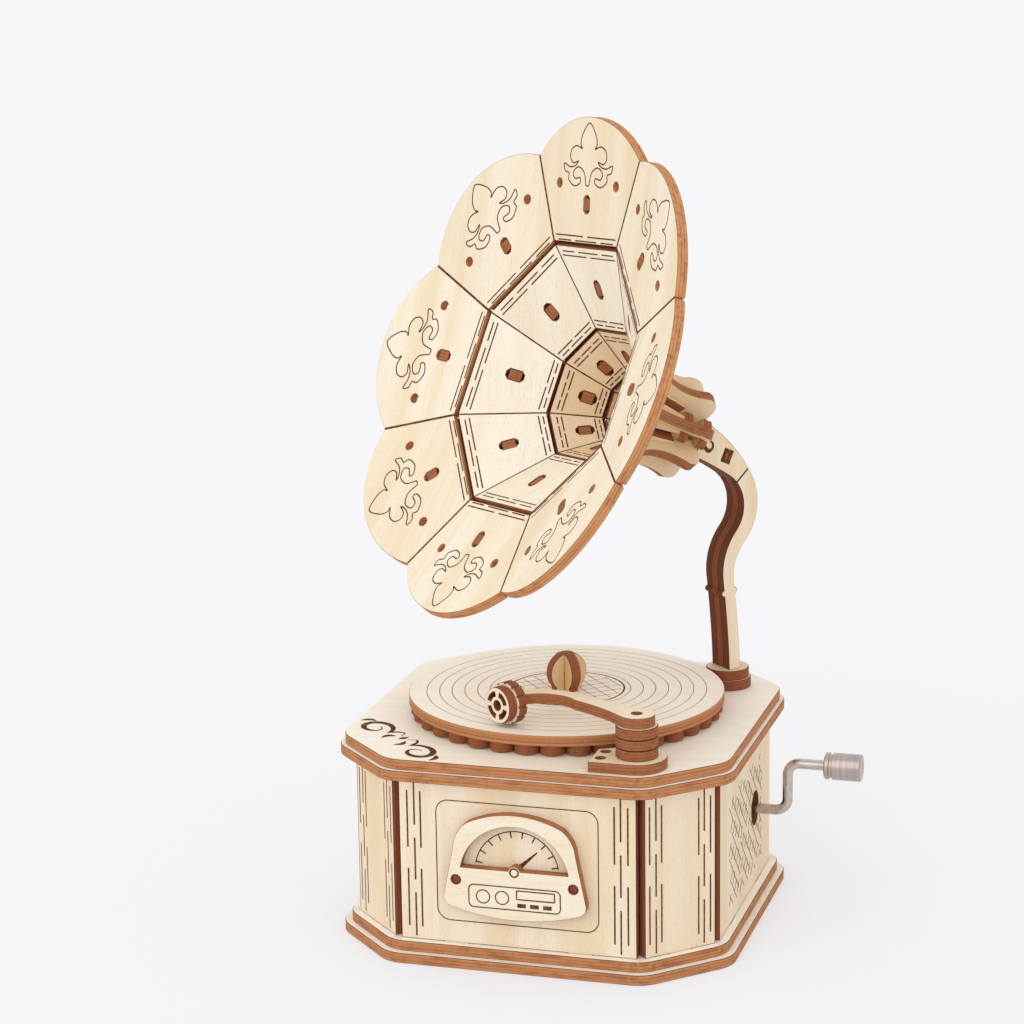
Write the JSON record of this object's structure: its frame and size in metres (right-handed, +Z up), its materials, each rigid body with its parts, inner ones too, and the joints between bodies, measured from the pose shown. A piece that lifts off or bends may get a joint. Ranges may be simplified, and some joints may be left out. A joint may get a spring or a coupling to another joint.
{
  "type": "hand cranked music box",
  "caption": "Wooden gramophone music box with an eight-sided case, turning record, swinging tonearm, curved post, panelled flower horn and a small side crank.",
  "frame": {"origin": "centre of the case's bottom face, on the surface that it stands on", "axes": "+X towards the crank side, -Y towards the front wall with the dial, +Z up"},
  "size_m": [0.1248, 0.1073, 0.1927],
  "materials": {
    "plywood": "bare laser-cut plywood",
    "dowel": "bare end grain",
    "bent_wire": "drawn",
    "turned_steel": "turned and plated",
    "brass": "machined",
    "cast_plate": "cast zinc",
    "comb_steel": "ground",
    "screw_steel": "plated"
  },
  "bodies": {
    "case": {"lower_bottom_plate": "plywood", "upper_bottom_plate": "plywood", "front_wall": "plywood", "rear_wall": "plywood", "left_wall": "plywood", "right_wall": "plywood", "front_left_corner_wall": "plywood", "front_right_corner_wall": "plywood", "rear_left_corner_wall": "plywood", "rear_right_corner_wall": "plywood", "lower_top_plate": "plywood", "upper_top_plate": "plywood", "dial_bezel": "plywood", "dial_bezel_pegs": "dowel", "movement_panel": "plywood", "bedplate": "cast_plate", "comb": "comb_steel", "comb_screws": "screw_steel", "movement_screws": "screw_steel", "arbor_brackets": "cast_plate", "tonearm_base": "plywood", "tonearm_base_pegs": "dowel", "tonearm_column_rings": "plywood", "tonearm_pivot_peg": "dowel", "post_lower_foot": "plywood", "post_upper_foot": "plywood", "post_near_side": "plywood", "post_core": "plywood", "post_far_side": "plywood", "near_cheek": "plywood", "far_cheek": "plywood", "cheek_key": "plywood", "top_petal": "plywood", "upper_right_petal": "plywood", "right_petal": "plywood", "lower_right_petal": "plywood", "bottom_petal": "plywood", "lower_left_petal": "plywood", "left_petal": "plywood", "upper_left_petal": "plywood", "middle_panels": "plywood", "inner_panels": "plywood", "throat_panels": "plywood", "horn_ribs": "plywood", "front_rosette": "plywood", "rear_rosette": "plywood"},
    "crank": {"crank_wire": "bent_wire", "worm": "brass"},
    "crank_knob": {"crank_knob": "turned_steel"},
    "turntable": {"lobed_disc": "plywood", "record_disc": "plywood", "knob_disc_left": "plywood", "knob_disc_right": "plywood", "cylinder_arbor": "bent_wire", "pinned_cylinder": "brass", "worm_wheel": "brass"},
    "tonearm": {"tonearm_arm": "plywood", "sound_box_front_disc": "plywood", "sound_box_rear_disc": "plywood"}
  },
  "joints": [
    {"name": "crank_spin", "type": "hinge", "parent": "case", "child": "crank", "pos_m": [0, 0.0107, 0.0245], "axis": [1, 0, 0], "continuous": true},
    {"name": "knob_spin", "type": "hinge", "parent": "crank", "child": "crank_knob", "pos_m": [0.0661, 0.0107, 0.0367], "axis": [1, 0, 0], "continuous": true},
    {"name": "turntable_spin", "type": "hinge", "parent": "case", "child": "turntable", "pos_m": [0, 0, 0.05], "axis": [0, 0, 1], "continuous": true},
    {"name": "tonearm_swing", "type": "hinge", "parent": "case", "child": "tonearm", "pos_m": [0.0272, -0.0384, 0.0597], "axis": [0, 0, 1], "range_deg": [-30, 20]}
  ],
  "couplings": [
    {"joint": "turntable_spin", "follows": "crank_spin", "ratio": 0.041667}
  ]
}
